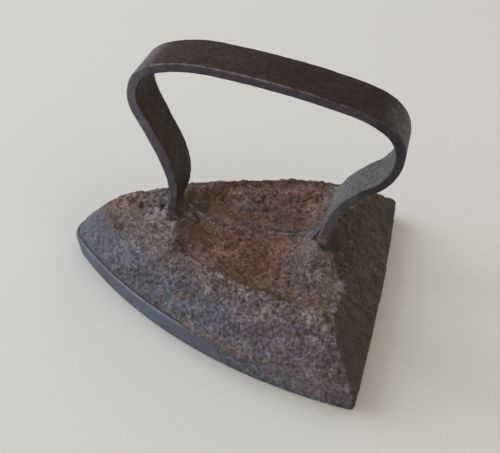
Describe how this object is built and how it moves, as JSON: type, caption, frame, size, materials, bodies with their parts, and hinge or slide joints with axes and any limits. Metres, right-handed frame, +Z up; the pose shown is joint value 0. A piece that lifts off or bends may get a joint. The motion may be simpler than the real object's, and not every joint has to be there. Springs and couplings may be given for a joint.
{
  "type": "sad iron",
  "caption": "Solid sad iron with a pointed arched sole, sloping sides, a dished top and a bent flat bar handle riveted through the body.",
  "frame": {"origin": "middle of the sole's length, on its resting face", "axes": "+X towards the toe, +Y to the left seen from behind the heel, +Z up"},
  "size_m": [0.1486, 0.112, 0.1127],
  "materials": {
    "sole": "smooth, worn, blue-grey",
    "body": "rough, pitted, rusty",
    "handle": "hammered, dark, edges worn bright"
  },
  "bodies": {
    "root": {"sole_plate": "sole", "iron_body": "body", "handle_bow": "handle"}
  },
  "joints": []
}
